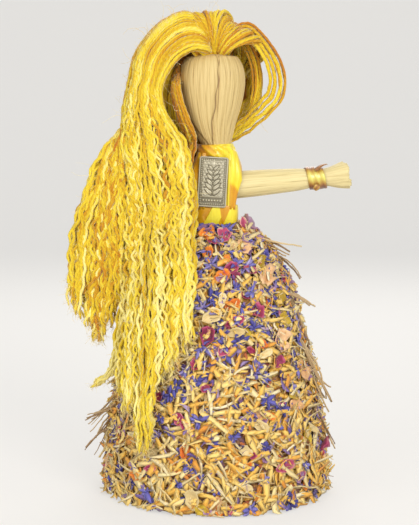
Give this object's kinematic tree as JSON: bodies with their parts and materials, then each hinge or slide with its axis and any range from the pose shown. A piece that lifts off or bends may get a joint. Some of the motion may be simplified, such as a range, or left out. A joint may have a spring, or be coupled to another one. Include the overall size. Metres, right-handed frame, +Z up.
{
  "type": "corn husk doll",
  "caption": "Standing corn husk doll with long wavy yarn hair, a ribbon bodice with a metal charm, a husk arm roll and a bell skirt covered in dried petals.",
  "frame": {"origin": "on the floor, under the middle of the doll's bounding box; the doll's own axis stands 6 mm to +X of it", "axes": "+Z up, -Y is the front, +X is to the viewer's right, the side of the bare arm"},
  "size_m": [0.1721, 0.138, 0.29],
  "materials": {
    "husk": "pleated dry corn husk",
    "inner_husk": "rough dry corn husk",
    "skirt_husk": "rough dry corn husk",
    "yarn": "crimped soft yarn",
    "satin_ribbon": "satin",
    "pewter": "antiqued grey cast metal",
    "petal_crust": "dried petals",
    "rose_petal": "dried petal",
    "dry_stalk": "dry stalk",
    "thread": "matt thread"
  },
  "bodies": {
    "doll": {"charm_plate": "pewter", "chest_filler": "inner_husk", "hair_cap": "yarn", "hair_root": "yarn", "hair_tie": "thread", "head_core": "inner_husk", "husk_leaf_back": "husk", "husk_leaf_front": "husk", "lock_back_1": "yarn", "lock_back_2": "yarn", "lock_back_3": "yarn", "lock_back_4": "yarn", "lock_front_1": "yarn", "lock_front_2": "yarn", "lock_front_3": "yarn", "lock_front_4": "yarn", "lock_side_1": "yarn", "lock_side_2": "yarn", "lock_side_3": "yarn", "lock_side_back_1": "yarn", "lock_side_back_2": "yarn", "loop_back": "yarn", "loop_inner": "yarn", "loop_outer": "yarn", "neck_tie": "thread", "petal_coat_lower": "petal_crust", "petal_coat_middle": "petal_crust", "petal_coat_upper": "petal_crust", "ribbon_neck_band": "satin_ribbon", "ribbon_panel_back": "satin_ribbon", "ribbon_panel_front": "satin_ribbon", "ribbon_strap_left": "satin_ribbon", "ribbon_strap_right": "satin_ribbon", "ribbon_waist_band": "satin_ribbon", "rose_petal_1": "rose_petal", "rose_petal_2": "rose_petal", "rose_petal_3": "rose_petal", "rose_petal_4": "rose_petal", "skirt_leaf_1": "skirt_husk", "skirt_leaf_2": "skirt_husk", "skirt_leaf_3": "skirt_husk", "skirt_leaf_4": "skirt_husk", "skirt_leaf_5": "skirt_husk", "skirt_leaf_6": "skirt_husk", "skirt_leaf_7": "skirt_husk", "skirt_leaf_8": "skirt_husk", "stalk_left_1": "dry_stalk", "stalk_left_2": "dry_stalk", "stalk_right_1": "dry_stalk", "stalk_right_2": "dry_stalk", "stalk_right_3": "dry_stalk", "waist_tie": "thread"},
    "arms": {"arm_core_roll": "inner_husk", "arm_leaf_left": "husk", "arm_leaf_right": "husk", "wrist_knot_left": "satin_ribbon", "wrist_knot_right": "satin_ribbon", "wrist_ribbon_left": "satin_ribbon", "wrist_ribbon_right": "satin_ribbon"}
  },
  "joints": [
    {"name": "arm_turn", "type": "hinge", "parent": "doll", "child": "arms", "pos_m": [0.006, 0, 0.1835], "axis": [0.9962, 0, 0.0872], "range_deg": [-15, 15]}
  ]
}
